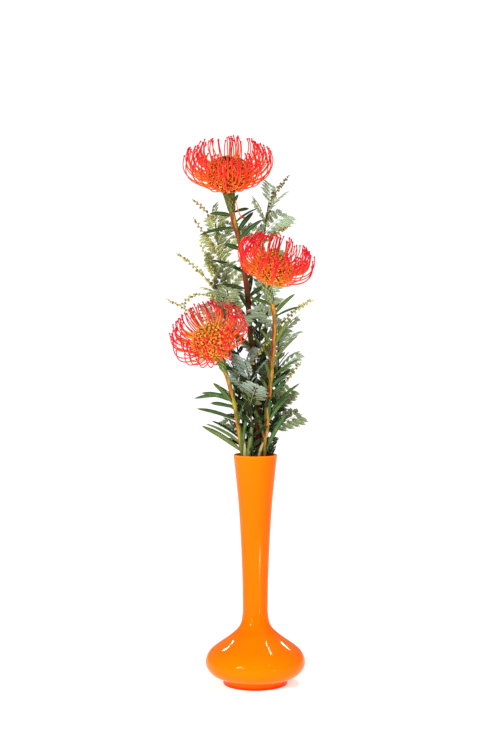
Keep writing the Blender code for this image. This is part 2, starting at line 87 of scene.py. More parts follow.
# Bud vase: (radius, height) down its two sides, from the lip.
VASE_STEPS = 96
LIP_HEIGHT = 260.0
LIP_ROUND = 1.2
LIP_STEPS = 8
INSIDE_SPACING = 4.0
OUTSIDE_SPACING = 3.0
VASE_OUTSIDE = [
    (24.6, 258.8), (18.7, 200), (15.4, 140), (14.3, 95), (14.8, 77), (18.4, 65), (29.2, 54.5),
    (48.4, 40.5), (54.9, 32), (56.5, 25), (55, 19), (50.5, 13), (43.6, 9), (36.9, 6.9),
]
FOOT_RING = [(36.3, 6.2), (36.5, 3.5), (36.6, 1.4), (36.2, 0.4), (35.4, 0.0), (0, 0)]
VASE_INSIDE = [
    (22.0, 258.8), (15.6, 200), (12.2, 140), (11.5, 77), (15.2, 63), (27.2, 51.5), (46, 37.8),
    (51.3, 31), (51.8, 20), (42, 11.5), (30, 8.5), (0, 8.5),
]

# Flower stems: where each stands in the neck, its points above that, its radius low down and
# under the head, and the head's base, size and lean (degrees to the right, then along Y).
# Leaves at the sides, each (height on the stem, azimuth, degrees off the stem, length), and
# leaves by rule: (height of the first, step up the stem, how many), (length, spread), then the
# width of all and the azimuth of the first. Small upright leaves at the vase's mouth, each (its
# midrib, width, chance), old and pale above 1.
STEM_CUT = 9.0
STRAIGHT_TO = 130.0
ROUTE_SPACING = 18.0
CLEARANCE = 0.3
FLOWERS = {
    "protea_top": {
        "neck": (0.3, 5.6),
        "route": [(3, 8, 258), (1.9, 12, 311), (-1.5, 14, 354), (-6, 14.5, 399), (-8.7, 14.5, 439),
                  (-11.6, 14, 461), (-17.2, 13, 498), (-24.5, 11.5, 523)],
        "radius": (3.0, 6.9), "base": (-29.4, 5, 556), "lean": (-2, -26), "head": 0.97,
        "side_leaves": [
            (535, -20, 30, 18), (530, 20, 82, 20), (527, 190, 68, 26), (519, -10, 68, 31),
            (514, 172, 80, 42), (509, 15, 50, 29), (501, -25, 62, 37), (489, 200, 58, 22),
            (464, 190, 56, 40), (456, 30, 60, 30), (445, 175, 70, 36), (436, 10, 56, 26),
            (425, -15, 44, 22),
        ],
        "leaves": (264, 14.4, 13), "leaf": (46, 44), "width": 5.6, "phase": 200,
    },
    "protea_right": {
        "neck": (6.0, -3.2),
        "route": [(9.1, -3, 259), (12.7, -5.5, 286), (14.1, -7.5, 312), (16.8, -9.5, 339),
                  (19.3, -11.5, 369), (21.3, -13, 400), (20.2, -13.6, 422)],
        "radius": (2.4, 5.6), "base": (15, -18, 453), "lean": (17, -21), "head": 0.87,
        "side_leaves": [
            (427, 190, 48, 27), (417, -12, 42, 33), (414, 12, 66, 32), (378, 175, 31, 28),
            (363, -8, 31, 42), (345, 8, 43, 38), (343, 200, 16, 24), (334, -15, 36, 26),
            (322, 10, 30, 28), (330, 165, 34, 22), (317, 195, 26, 26), (306, -6, 36, 50),
            (277, 190, 20, 42), (258, -5, 20, 58), (262, 20, 14, 36), (336, -95, 9, 30),
            (298, -80, 7, 30), (260, 178, 9, 20),
        ],
        "leaves": (262, 17.0, 8), "leaf": (42, 30), "width": 5.0, "phase": 60,
        "mouth_leaves": [
            ([(7.8, -3.4, 240), (4.6, -10, 258), (6.5, -13.5, 268), (10.1, -15, 278)], 4.2, 1.3),
        ],
    },
    "protea_left": {
        "neck": (-5.6, -3.4),
        "route": [(-13.8, -8, 260), (-17.7, -10, 282), (-21.5, -12.5, 308), (-27.5, -15.5, 334),
                  (-32, -17.6, 350)],
        "radius": (2.5, 4.9), "base": (-43, -24, 377), "lean": (-22, -40), "head": 0.87,
        "side_leaves": [
            (327, 178, 76, 42), (322, 196, 56, 37), (313, 168, 62, 28), (299, 186, 58, 47),
            (296, 206, 30, 34), (274, 172, 46, 44), (264, 188, 40, 54), (258, -60, 4, 40),
            (258, 230, 2, 22),
        ],
        "leaves": (266, 13.0, 5), "leaf": (40, 36), "width": 5.6, "phase": 20,
        "mouth_leaves": [
            ([(-11.6, -7.6, 236), (-8.3, -14.5, 258), (-5.5, -16.6, 280), (-3.5, -17.5, 300)], 5.2, 1.0),
            ([(-11.8, -8, 234), (-11.6, -13.2, 256), (-11.8, -15, 278)], 4.2, 1.3),
            ([(-13, -8.5, 243), (-14.3, -12.2, 261), (-15.2, -13.6, 278), (-16.3, -14, 295)], 4.2, 0.4),
            ([(-13.6, -8.4, 262), (-13.6, -13.5, 276), (-11.5, -15.5, 294), (-8.5, -16.5, 312)], 4.0, 0.8),
        ],
    },
}

# A stem swells over its last PEDUNCLE, and is straight over its last NECK. A leaf is rooted at a
# share LEAF_SET of the stem's radius.
PEDUNCLE = 30.0
NECK = 8.0
BARK_SPACING = 5.0
BARK_SIDES = 14
LEAF_THICKNESS = 0.75
LEAF_DROOP = 12.0
LEAF_ROLL = (35, 75)
LEAF_CHANNEL = 0.22
LEAF_TWIST = 0.5
LEAF_SET = 0.3
LEAF_SPACING = 3.2

# A leaf's section: each point's place across the blade, and its height over the middle of the
# blade in thicknesses.
LEAF_SECTION = [
    (1.0, 0.5), (0.55, 0.5), (0.0, 0.5), (-0.55, 0.5), (-1.0, 0.5), (-0.55, -0.6), (0.0, -0.6),
    (0.55, -0.6),
]

# Scales: (length, width), and the first row's way below the head.
SCALE_ROWS = 7
SCALES_AROUND = 7
SCALE = (7.5, 4.4)
SCALE_SPREAD = 22.0
SCALE_DROOP = -14.0
SCALE_SPACING = 1.3
SCALE_PITCH = 3.4
SCALES_FROM = 5.0

# Flower head of size 1: a dome of florets, each of so many segments that are rolled outwards.
DOME_RADIUS = 24.5
DOME_HEIGHT = 37.0
DOME_CORE = 0.9
CORE_RINGS = 13
CORE_AROUND = 28
DOME_POLAR = math.radians(148)
FLORETS = 250
CURLS = 3
CURL_ROLL = 1.25
CURL_STEPS = 8
CURL_STEP = math.radians(48)
CURL_THICK = 0.32
FLORET_ROOT = 3.4

# A style thins towards its knob. KNOB_SHARES are the places along the knob where it has a point.
STYLE_RADIUS = 0.73
STYLE_SIDES = 5
STYLE_STEPS = 13
KNOB_LENGTH = 2.6
KNOB_SHARES = (0.2, 0.5, 0.8, 1.0)
STYLE_RADII = [STYLE_RADIUS * (1.1 - 0.25 * step / (STYLE_STEPS - 1)) for step in range(STYLE_STEPS)]
STYLE_RADII += [STYLE_RADIUS * share for share in (0.95, 1.4, 1.5, 1.2, 0.6)]

# Styles, from the outside in: each a Bezier curve of (distance from the axis, height).
STYLE_CURVES = [
    [(11, 4), (33, 4), (60, 12), (50, 41)],
    [(15, 9), (38, 10), (56, 23), (45, 46)],
    [(16, 15), (36, 20), (49, 32), (38, 50)],
    [(13, 21), (30, 29), (38, 40), (28, 52)],
]

# Of the florets, the share at the apex that are small and have no style, the share there that are
# closed, and the share of the others that have no style either.
YOUNG_SHARE = 0.14
CLOSED_SHARE = 0.014
BARE_SHARE = 0.42
FALLEN_STYLE = [(-22.0, 0.5, 543.4), (-18.6, -1.6, 531), (-15.4, -2.4, 524.6), (-12.8, -2.2, 523.6),
                (-11.1, -1.6, 525.6)]

# Wattle sprays. The fronds stand on the branch from a height up, and each raceme has its own
# (height on the branch, azimuth, degrees off the branch, further bend, length). Short shoots,
# dark with painted shade, stand on the branch from one height to another, so many of them.
WATTLES = {
    "wattle_back_left": {
        "neck": (-6.5, 5.0),
        "route": [(-8, 12, 258), (-13, 19, 310), (-19, 24, 370), (-28, 26, 425), (-39, 26, 475),
                  (-46, 24, 525)],
        "fronds": 12, "from": 392, "phase": 150, "tufts": (280, 392, 20),
        "racemes": [(484, 208, 26, 4, 50), (521, 205, 28, 20, 34)],
    },
    "wattle_back_right": {
        "neck": (7.6, 4.2),
        "route": [(9, 12, 258), (9, 21, 310), (6, 30, 370), (4, 34, 430), (8, 32, 490),
                  (16, 28, 548)],
        "fronds": 12, "from": 404, "phase": 20, "tufts": (256, 404, 34),
        "racemes": [(545, 10, 22, 16, 34), (497, -35, 42, 24, 38), (520, 80, 30, 20, 40)],
    },
    "wattle_front": {
        "neck": (0.2, -7.8),
        "route": [(-3, -11, 258), (-4, -14, 290), (-6, -17, 325), (-9, -20, 362)],
        "fronds": 8, "from": 306, "phase": 150, "tufts": (252, 345, 28),
        "racemes": [(358, 10, 36, 10, 34)],
    },
    "wattle_right": {
        "neck": (3.0, 0.5),
        "route": [(15, 4, 258), (21, 7, 290), (25, 9, 330), (26, 9, 370), (26, 6, 408)],
        "fronds": 10, "from": 282, "phase": 10, "tufts": (252, 350, 24),
        "racemes": [(404, 0, 40, 22, 46), (326, 15, 24, 10, 44)],
    },
    "wattle_left": {
        "neck": (-3.2, 1.2),
        "route": [(-11, 3, 258), (-16, 4, 310), (-24, 7, 354), (-32, 9, 399), (-38.5, 8, 433),
                  (-46, 6, 451)],
        "fronds": 10, "from": 270, "phase": 240, "tufts": (252, 350, 26),
        "racemes": [(446, 186, 14, 20, 58), (440, 75, 16, -10, 62), (428, 192, 24, 110, 52),
                    (394, 176, 44, 10, 78)],
    },
    "wattle_back": {
        "neck": (5.2, 7.6),
        "route": [(4, 14, 258), (6, 26, 300), (10, 38, 345), (12, 47, 395)],
        "fronds": 9, "from": 264, "phase": 90, "tufts": (252, 360, 30),
        "racemes": [(391, 100, 24, 20, 46), (350, 60, 34, 20, 46)],
    },
}

# Branch radius at its cut end and at its tip. Frond: length, width, degrees off the branch, further
# bend, and the most it may be rolled. Leaflet: length, width, thickness.
BRANCH_RADIUS = (1.3, 0.8)
TWIG_SPACING = 8.0
TWIG_SIDES = 8
FROND_LENGTH = 34.0
FROND_WIDTH = 27.0
FROND_SPREAD = 38.0
FROND_DROOP = 18.0
FROND_ROLL = 55
FROND_STEPS = 6
PINNA_PAIRS = 5
LEAFLET = (3.3, 1.7, 0.3)
LEAFLET_OUTLINE = [(0, 0), (0.28, 0.42), (0.74, 0.4), (1, 0), (0.74, -0.4), (0.28, -0.42)]
LEAFLET_PITCH = 0.9
LEAFLET_SPREAD = math.radians(58)
TUFT_LENGTH = 17.0
TUFT_STEPS = 6

# Racemes: buds stand BUDS_APART on the stalk, some in pairs. The CAD's stand BUD_PITCH apart.
STALK_RADIUS = 0.55
STALK_SPACING = 2.0
STALK_SIDES = 6
FIRST_BUD = 3.0
PAIRED_SHARE = 0.4
PEDICEL_RADIUS = 0.22
BUD_RADIUS = 1.85
BUD_FLATNESS = 0.92
BUD_GRAIN = 0.55
BUD_PITCH = 6.0
BUDS_APART = 3.3

# How a leaf may have been turned round its stem, or closed up to it, to stay clear of the rest.
TURNS = [0, 14, -14, 28, -28, 44, -44, 62, -62]
CLOSER = [1.0, 0.7, 0.42]
TIP_MATCH = 0.15

# What each point of a piece tells its finish: how far along its part it is, from 0 to 1, how far
# across it, and a chance that is the same all over the part.
MEASURES = ("along", "across", "chance")


def smooth_route(points, spacing):
    """Points about `spacing` apart on a Catmull-Rom curve through `points`."""
    ends = [2 * points[0] - points[1], *points, 2 * points[-1] - points[-2]]
    found = [points[0]]
    for before, start, end, after in zip(ends, ends[1:], ends[2:], ends[3:]):
        steps = max(1, round((end - start).length / spacing))
        for step in range(1, steps + 1):
            t = step / steps
            found.append(0.5 * (
                2 * start + (end - before) * t
                + (2 * before - 5 * start + 4 * end - after) * t ** 2
                + (3 * start - before - 3 * end + after) * t ** 3
            ))
    return found


def bezier(a, b, c, d, steps):
    """Points on a Bezier curve, its two ends included."""
    found = []
    for step in range(steps + 1):
        t = step / steps
        early = (1 - t) ** 3 * a + 3 * t * (1 - t) ** 2 * b
        found.append(early + 3 * t * t * (1 - t) * c + t ** 3 * d)
    return found


def at_height(route, height):
    """(place, direction) where a route passes a height."""
    for low, high in zip(route, route[1:]):
        if low.z <= height <= high.z:
            share = (height - low.z) / (high.z - low.z)
            return low.lerp(high, share), (high - low).normalized()
    return route[-1], (route[-1] - route[-2]).normalized()


def sideways(direction, azimuth):
    """The unit vector square to `direction` that points to `azimuth`, counted from +X."""
    flat = Vector((math.cos(azimuth), math.sin(azimuth), 0))
    return (flat - flat.dot(direction) * direction).normalized()


def smooth_step(value):
    value = min(1.0, max(0.0, value))
    return value * value * (3 - 2 * value)


def frames(line, first_side=None):
    """(place, side, normal, along) at each point of a line, carried along it without twisting."""
    found = []
    side = first_side
    for index, place in enumerate(line):
        before = line[max(index - 1, 0)]
        after = line[min(index + 1, len(line) - 1)]
        along = (after - before).normalized()
        side = side or along.orthogonal()
        side = (side - side.dot(along) * along).normalized()
        found.append((place, side, along.cross(side), along))
    return found


def draws(stream, name, more=0):
    """The random draws of one kind of part, the same in every run."""
    return random.Random(SEED * STREAMS[stream] + len(name) + more)


class Form:
    """The points and faces of one piece, gathered shape by shape, with measures for its finish."""

    def __init__(self):
        self.points = []
        self.faces = []
        self.measures = []

    def point(self, place, along, across, chance):
        self.points.append(place)
        self.measures.append((along, across, chance))

    def close(self, first, around):
        """Faces over rings of `around` points, from a flat end at `first` to the tip, added last."""
        tip = len(self.points) - 1
        for ring in range(first, tip, around):
            for corner in range(around):
                low, high = ring + corner, ring + (corner + 1) % around
                if ring + around < tip:
                    self.faces.append((low, high, high + around, low + around))
                else:
                    self.faces.append((low, high, tip))
        self.faces.append(tuple(reversed(range(first, first + around))))

    def sweep(self, line, section_for, side=None, twist=0.0, chance=0.0):
        """Sweeps the ring section_for(share) along a line, to a point at the line's end."""
        first = len(self.points)
        last = len(line) - 1
        for index, (place, across_way, rise_way, _) in enumerate(frames(line, side)[:-1]):
            share = index / last
            turn = math.sin(twist * share)
            hold = math.cos(twist * share)
            ring = section_for(share)
            for across, rise, measure in ring:
                turned_across = hold * across - turn * rise
                turned_rise = turn * across + hold * rise
                place_now = place + turned_across * across_way + turned_rise * rise_way
                self.point(place_now, share, measure, chance)
        self.point(line[-1], 1.0, 0.0, chance)
        self.close(first, len(ring))

    def tube(self, line, radius_for, sides, **more):
        """Sweeps a round section of radius radius_for(share)."""
        circle = [math.tau * index / sides for index in range(sides)]

        def section_for(share):
            radius = radius_for(share)
            return [(radius * math.cos(turn), radius * math.sin(turn), math.cos(turn)) for turn in circle]

        self.sweep(line, section_for, **more)

    def rod(self, line, radii, sides, **more):
        """Sweeps a round section with its own radius at each point of the line."""
        self.tube(line, lambda share: radii[round(share * (len(line) - 1))], sides, **more)

    def leaflet(self, base, way, side, size, chance, along):
        """A small oval leaflet from its base along `way`, a little thicker along its middle."""
        length, width, thickness = (size * measure for measure in LEAFLET)
        normal = way.cross(side).normalized()
        first = len(self.points)
        for forward, aside in LEAFLET_OUTLINE:
            self.point(base + forward * length * way + aside * width * side, along, abs(aside), chance)
        for face in (0.5, -0.5):
            self.point(base + 0.5 * length * way + face * thickness * normal, along, 0.0, chance)
        around = len(LEAFLET_OUTLINE)
        for corner in range(around):
            low, high = first + corner, first + (corner + 1) % around
            self.faces += [(low, high, first + around), (high, low, first + around + 1)]

    def ball(self, centre, radius, turn, chance):
        """A knobbly ball from the shared template, scaled, turned and put in place."""
        points, faces = BALL
        first = len(self.points)
        for point in points:
            self.point(centre + turn @ (radius * point), 1.0, 1.0, chance)
        self.faces += [tuple(first + corner for corner in face) for face in faces]

    def piece(self, name, finish, slot, *nodes):
        """Makes the object, gives it its finish, and puts it on the body in place of CAD nodes."""
        mesh = bpy.data.meshes.new(name)
        mesh.from_pydata([MM * point for point in self.points], [], self.faces)
        for measure, values in zip(MEASURES, zip(*self.measures)):
            mesh.attributes.new(measure, "FLOAT", "POINT").data.foreach_set("value", values)
        tidy = bmesh.new()
        tidy.from_mesh(mesh)
        bmesh.ops.recalc_face_normals(tidy, faces=tidy.faces)
        tidy.to_mesh(mesh)
        tidy.free()
        mesh.shade_smooth()
        dress(placed(name, mesh), finish, slot, *nodes)


def placed(name, data):
    """A new object in the scene."""
    made = bpy.data.objects.new(name, data)
    bpy.context.scene.collection.objects.link(made)
    return made


def dress(thing, finish, slot, *nodes):
    """Gives a piece its finish, and puts it on the body in place of CAD nodes."""
    thing.data.materials.clear()
    thing.data.materials.append(finish.material)
    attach(thing, "root")
    if nodes:
        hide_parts(*nodes)


def knobbly_ball():
    """Points and faces of a slightly flat ball of radius 1 whose corners stand in and out."""
    form = bmesh.new()
    bmesh.ops.create_icosphere(form, subdivisions=2, radius=1)
    form.verts.ensure_lookup_table()
    draw = random.Random(SEED)
    flat = Vector((1, 1, BUD_FLATNESS))
    points = [draw.uniform(0.9, 1.08) * corner.co * flat for corner in form.verts]
    faces = [tuple(corner.index for corner in face.verts) for face in form.faces]
    form.free()
    return points, faces


BALL = knobbly_ball()


class Solid:
    """A CAD node's surface, which tells how a repeat was turned when the node was made."""

    def __init__(self, thing):
        points = [corner.co / MM for corner in thing.data.vertices]
        faces = [tuple(face.vertices) for face in thing.data.polygons]
        self.tree = BVHTree.FromPolygons(points, faces)

    def choice(self, up, azimuth, line_for):
        """(line, outward, closeness) of the line whose tip is on the node's surface, or None."""
        best, found = TIP_MATCH, None
        for closer in CLOSER:
            for turn in TURNS:
                outward = sideways(up, azimuth + math.radians(turn))
                line = line_for(outward, closer)
                miss = self.tree.find_nearest(line[-1])[3]
                if miss < best:
                    best, found = miss, (line, outward, closer)
        return found


class Value:
    """A socket in a material, with arithmetic that adds Math nodes."""

    def __init__(self, finish, socket):
        self.finish = finish
        self.socket = socket

    def math(self, operation, first, second=0.0):
        return self.finish.node("Math", {"operation": operation}, {0: first, 1: second})

    def __add__(self, other):
        return self.math("ADD", self, other)

    __radd__ = __add__

    def __sub__(self, other):
        return self.math("SUBTRACT", self, other)

    def __rsub__(self, other):
        return self.math("SUBTRACT", other, self)

    def __mul__(self, other):
        return self.math("MULTIPLY", self, other)

    def size(self):
        return self.math("ABSOLUTE", self)

    def wave(self):
        """A sine of this value, from 0 to 1, with one turn for each unit."""
        return self.math("SINE", self * math.tau) * 0.5 + 0.5

    def rise(self, low, high):
        """0 below `low`, 1 above `high` and smooth between them."""
        settings = {"interpolation_type": "SMOOTHSTEP"}
        return self.finish.node("MapRange", settings, {0: self, 1: low, 2: high})


class Finish:
    """A Principled material. What is the same all over goes straight to the shader's sockets."""

    def __init__(self, name, constants):
        self.material = bpy.data.materials.new(name)
        self.material.use_nodes = True
        self.tree = self.material.node_tree
        self.set(constants)

    def feed(self, socket, value):
        if isinstance(value, Value):
            self.tree.links.new(value.socket, socket)
        else:
            socket.default_value = value

    def set(self, values):
        """Values or links for the shader's sockets, by name."""
        for socket, value in values.items():
            self.feed(self.tree.nodes["Principled BSDF"].inputs[socket], value)

    def node(self, kind, settings, inputs, output=0):
        """Adds a node of a type: its settings first, then the values or links of its sockets."""
        made = self.tree.nodes.new("ShaderNode" + kind)
        for name, setting in settings.items():
            setattr(made, name, setting)
        for socket, value in inputs.items():
            self.feed(made.inputs[socket], value)
        return Value(self, made.outputs[output])

    def measures(self, *names):
        """The piece's own measures of these names."""
        return [self.node("Attribute", {"attribute_name": name}, {}, 2) for name in names]

    def facing(self, axis):
        """How far the surface faces along +X, +Y or +Z."""
        normal = self.node("NewGeometry", {}, {}, 1)
        return self.node("SeparateXYZ", {}, {0: normal}, "XYZ".index(axis))

    def place(self, stretch=(1, 1, 1)):
        """Object coordinates in millimetres, stretched along each axis."""
        here = self.node("TexCoord", {}, {}, 3)
        stretch = [share / MM for share in stretch]
        return self.node("VectorMath", {"operation": "MULTIPLY"}, {0: here, 1: stretch})

    def noise(self, size, detail=2.0, stretch=(1, 1, 1)):
        """Noise with grains of about `size` millimetres, from 0 to 1."""
        inputs = {"Vector": self.place(stretch), "Scale": 1 / size, "Detail": detail}
        return self.node("TexNoise", {}, inputs)

    def height(self):
        """Height above the foot in millimetres."""
        return self.node("SeparateXYZ", {}, {0: self.place()}, 2)

    def off_axis(self):
        """Distance from the vase's axis in millimetres."""
        return self.node("VectorMath", {"operation": "LENGTH"}, {0: self.place((1, 1, 0))}, 1)

    def mix(self, share, a, b):
        """Colour a where share is 0 and b where it is 1."""
        return self.node("Mix", {"data_type": "RGBA"}, {0: share, 6: a, 7: b}, 2)

    def coats(self, colour, *coats):
        """A colour under coats of (share, colour), each laid over the ones before it."""
        for share, coat in coats:
            colour = self.mix(share, colour, coat)
        return colour

    def ramp(self, value, stops):
        """Colours at (position, colour) stops along a value, blended between them."""
        colour = self.node("ValToRGB", {}, {0: value})
        elements = colour.socket.node.color_ramp.elements
        for position, _ in stops[2:]:
            elements.new(position)
        for element, stop in zip(elements, stops):
            element.position, element.color = stop
        return colour

    def surface(self, colour, roughness, relief=None, depth=0.0):
        """Colour, roughness, and bumps of `depth` millimetres for a relief of 1."""
        self.set({"Base Color": colour, "Roughness": roughness})
        if relief:
            self.set({"Normal": self.node("Bump", {}, {"Height": relief, "Distance": depth * MM})})
        return self


def seen(red, green, blue, share=0.62):
    """The colour of a surface that shows as these screen values, for its share of the light."""
    return (*(share * (value / 255) ** 2.2 for value in (red, green, blue)), 1.0)


def vase_finish():
    """Opaque cased glass: orange, redder at the thick foot, where painted shade also falls, and paler on
    the wide bulb as painted light.
    """
    finish = Finish("orange cased glass", {
        "IOR": 1.5, "Specular IOR Level": 0.08, "Specular Tint": (1.0, 0.7, 0.4, 1.0),
    })
    height = finish.height()
    drawn = finish.noise(9, 2.0, (1, 1, 0.12))
    cloudy = finish.noise(30, 3.0)
    body = finish.ramp(drawn * 0.5 + cloudy * 0.5, [
        (0.3, (1.0, 0.113, 0.0, 1)), (0.7, (1.0, 0.13, 0.0, 1)),
    ])
    body = finish.coats(
        body,
        # Painted light: paler out on the wide bulb, whose upper slope faces the light from above.
        (finish.off_axis().rise(16, 34), (1.0, 0.15, 0.0, 1)),
        # Thicker glass and painted shade: redder and darker at the foot, which gets no light from below.
        ((1 - height.rise(1.0, 9.0)) * 0.92, (1.0, 0.014, 0.0, 1)),
        (height.rise(257.6, 259.6), (1.0, 0.2, 0.01, 1)),
    )
    return finish.surface(body, 0.05 + drawn * 0.03, drawn * 0.6 + cloudy * 0.4, 0.08)


def water_finish():
    finish = Finish("clear water", {"IOR": 1.333, "Transmission Weight": 1.0})
    still = finish.noise(14)
    tone = finish.mix(still, (0.93, 0.97, 0.93, 1), (0.84, 0.92, 0.82, 1))
    return finish.surface(tone, 0.02 + still * 0.04, still, 0.2)


def leaf_finish(name, deepened):
    """Protea leaf: green with a paler rib and edge, fine veins and a red-brown tip.

    The old leaves at the mouth have a chance over 1 and are pale.
    """
    finish = Finish(name, {"Specular IOR Level": 0.14})
    along, across, chance = finish.measures(*MEASURES)
    mottle = finish.noise(5, 4.0)
    edge = across.size()
    rib = 1 - edge.rise(0.03, 0.2)
    green = finish.ramp(chance * 0.6 + mottle * 0.4, [
        (0.2, seen(40, 88, 40)), (0.45, seen(88, 122, 48)), (0.6, seen(38, 104, 62)),
        (0.85, seen(134, 146, 66)),
    ])
    green = finish.coats(
        green,
        ((0.6 + mottle * 0.8) * deepened, seen(38, 48, 32)),
        (rib * 0.35, seen(160, 176, 104)),
        (edge.rise(0.84, 1.0) * (0.35 + mottle * 0.5), seen(184, 168, 96)),
        (chance.rise(1.0, 1.2) * (0.6 + mottle * 0.4), seen(200, 182, 126)),
        ((along + mottle * 0.08).rise(0.9, 1.0) * 0.85, seen(128, 74, 52)),
        ((1 - along.rise(0.0, 0.16)) * 0.5, seen(150, 160, 80)),
    )
    veins = (across * 7 + along * 9).wave()
    return finish.surface(green, 0.42 + mottle * 0.2, veins * 0.3 + rib * 0.9 + mottle * 0.3, 0.12)


def bark_finish(name, red, yellow, reddened, darkened):
    """Protea stem: red on the side the sun reached and yellow on the other, with fine furrows.

    Lower down it is redder and darker, by `darkened`.
    """
    finish = Finish(name, {"Specular IOR Level": 0.12})
    streaks = finish.noise(2.2, 3.0, (1, 1, 0.12))
    patches = finish.noise(15, 2.5, (1, 1, 0.6))
    low = (1 - finish.height().rise(420, 500)) * darkened
    redness = finish.facing("X") * -0.45 + patches * 1.5 + streaks * 0.4 + low + reddened
    along = finish.measures("along")[0]
    skin = finish.coats(
        yellow,
        (redness.rise(0.55, 0.95), red),
        (low, seen(76, 22, 20)),
        (finish.noise(12, 3.0).rise(0.48, 0.6) * 0.6, seen(92, 116, 44)),
        (along.rise(0.92, 0.95) * 0.85, seen(92, 98, 46)),
        (streaks.rise(0.5, 0.64) * 0.7, seen(92, 62, 38)),
    )
    return finish.surface(skin, 0.5 + streaks * 0.2, streaks, 0.35)


def scale_finish(name, pale, dark):
    """The small scales under a head: green with brown, downy edges."""
    finish = Finish(name, {"Specular IOR Level": 0.2})
    along, across, chance = finish.measures(*MEASURES)
    mottle = finish.noise(2.5, 3.0)
    body = finish.coats(
        pale,
        (chance * 0.5 + mottle * 0.5, dark),
        (across.size().rise(0.55, 1.0) * 0.6, seen(120, 92, 62)),
        (along.rise(0.75, 1.0) * 0.8, seen(86, 52, 38)),
    )
    return finish.surface(body, 0.65 + mottle * 0.2, mottle, 0.3)


def core_finish():
    """What shows between the florets: dark, woolly, orange-brown."""
    finish = Finish("floret wool", {"Specular IOR Level": 0.05})
    wool = finish.noise(1.2, 4.0)
    body = finish.mix(wool, seen(196, 70, 20, 0.8), seen(240, 120, 44, 0.8))
    return finish.surface(body, 0.85 + wool * 0.1, wool, 1.0)


def floret_finish(name, crest, flank, golden, sunny, closed):
    """A curled floret: silky on its crest, deeper orange below, browner towards its roll.

    The closed florets at the apex have a chance over 1 and their own colour.
    """
    finish = Finish(name, {"Specular IOR Level": 0.15})
    along, across, chance = finish.measures(*MEASURES)
    silk = finish.noise(1.0, 3.0)
    right = (finish.facing("X") + silk * 0.6 - finish.facing("Z") * 0.2).rise(0.4, 1.0)
    body = finish.coats(
        seen(204, 80, 24, 0.8),
        (along.rise(0.05, 0.3), flank),
        (along.rise(0.36, 0.6) * (0.35 + silk * 0.6), crest),
        (along.rise(0.8, 1.0) * 0.5, seen(206, 84, 26)),
        (chance.rise(0.5, 0.95) * golden, seen(250, 206, 90, 0.9)),
        (across.rise(0.8, 1.0) * 0.3, seen(226, 66, 34, 0.9)),
        (right * sunny, seen(214, 196, 60, 0.9)),
        (chance.rise(0.98, 1.0), closed),
    )
    return finish.surface(body, 0.55 + silk * 0.2, silk, 0.25)


def style_finish(name, early, root, middle, tip):
    """A style: waxy, from orange at its root to pink-red at its knob, and sooner red by `early`."""
    # Emission Strength makes the styles glow a little: painted light on their shaded sides.
    finish = Finish(name, {"Specular IOR Level": 0.1, "Emission Strength": 0.14})
    along, chance = finish.measures("along", "chance")
    flecks = finish.noise(1.5, 3.0)
    ripe = along + (chance - 0.5 + early) * 0.3 + (flecks - 0.5) * 0.15
    body = finish.ramp(ripe, [
        (0.15, root), (0.5, middle), (0.8, tip), (0.95, seen(206, 16, 44, 1.0)),
    ])
    body = finish.mix(along.rise(0.93, 0.97) * 0.4, body, seen(160, 12, 36))
    # The glow takes the style's own colour: painted light.
    finish.set({"Emission Color": body})
    return finish.surface(body, 0.32 + flecks * 0.18, flecks, 0.15)


def frond_finish(name, pale, deep, tint, shade=1.0, shaded=(325, 405)):
    """Wattle leaflets: silver bloom over grey-green, each frond a little different.

    Leaflets low in the middle of the bunch get painted shade, by `shade`, which fades over
    `shaded`. The low shoots have a chance below 0 and get darker painted shade still.
    """
    finish = Finish(name, {"Specular IOR Level": 0.05})
    across, chance = finish.measures("across", "chance")
    bloom = finish.noise(3, 3.0)
    inner = 1 - finish.off_axis().rise(12, 40)
    low = 1 - (finish.height() + chance * 30).rise(*shaded)
    body = finish.coats(
        deep,
        (bloom * 0.4 + chance * 0.6, pale),
        (chance.rise(0.5, 0.8) * 0.6, tint),
        # Painted shade low in the middle of the bunch, near the vase's axis.
        (low * (0.35 + inner * 0.5) * shade, seen(48, 64, 34)),
        ((1 - across) * 0.3, seen(180, 184, 120, 0.9)),
        # Painted shade on the low shoots, whose chance is below 0.
        ((1 - chance.rise(-0.35, 0.0)) * (0.65 + bloom * 0.4), seen(40, 56, 30)),
    )
    return finish.surface(body, 0.6 + bloom * 0.2, bloom, 0.2)


def twig_finish():
    """Wattle branch: thin, ridged, brown-green."""
    finish = Finish("wattle twig", {"Specular IOR Level": 0.3})
    grain = finish.noise(1.5, 3.0, (1, 1, 0.15))
    skin = finish.coats(
        seen(112, 112, 62),
        (finish.noise(30).rise(0.4, 0.62), seen(110, 66, 52)),
        (grain * 0.5, seen(70, 58, 40)),
    )
    return finish.surface(skin, 0.6 + grain * 0.2, grain, 0.3)


def bud_finish(name, ripe, green):
    """Wattle buds: granular olive and yellow balls on a thin stalk."""
    finish = Finish(name, {"Specular IOR Level": 0.25})
    across, chance = finish.measures("across", "chance")
    grains = finish.node("TexVoronoi", {}, {"Vector": finish.place(), "Scale": 1 / BUD_GRAIN})
    ball = finish.coats(
        ripe,
        (chance * 0.75 + grains * 0.4, green),
        (chance.rise(0.78, 0.9) * 0.7, seen(128, 92, 58)),
    )
    body = finish.mix(across, seen(158, 150, 84), ball)
    return finish.surface(body, 0.6 + grains * 0.25, 1 - grains, 0.35)


def floor_finish():
    """A white studio floor that glows far off, so that it runs into the white behind."""
    finish = Finish("pale floor", {"Specular IOR Level": 0.1, "Emission Strength": FLOOR_GLOW})
    glow = finish.mix(finish.off_axis().rise(400, 2200), (0.55, 0.55, 0.55, 1), (1, 1, 1, 1))
    finish.set({"Emission Color": glow})
    tone = finish.noise(200)
    body = finish.mix(tone, (0.93, 0.93, 0.93, 1), (0.95, 0.95, 0.95, 1))
    return finish.surface(body, 0.8 + tone * 0.05)


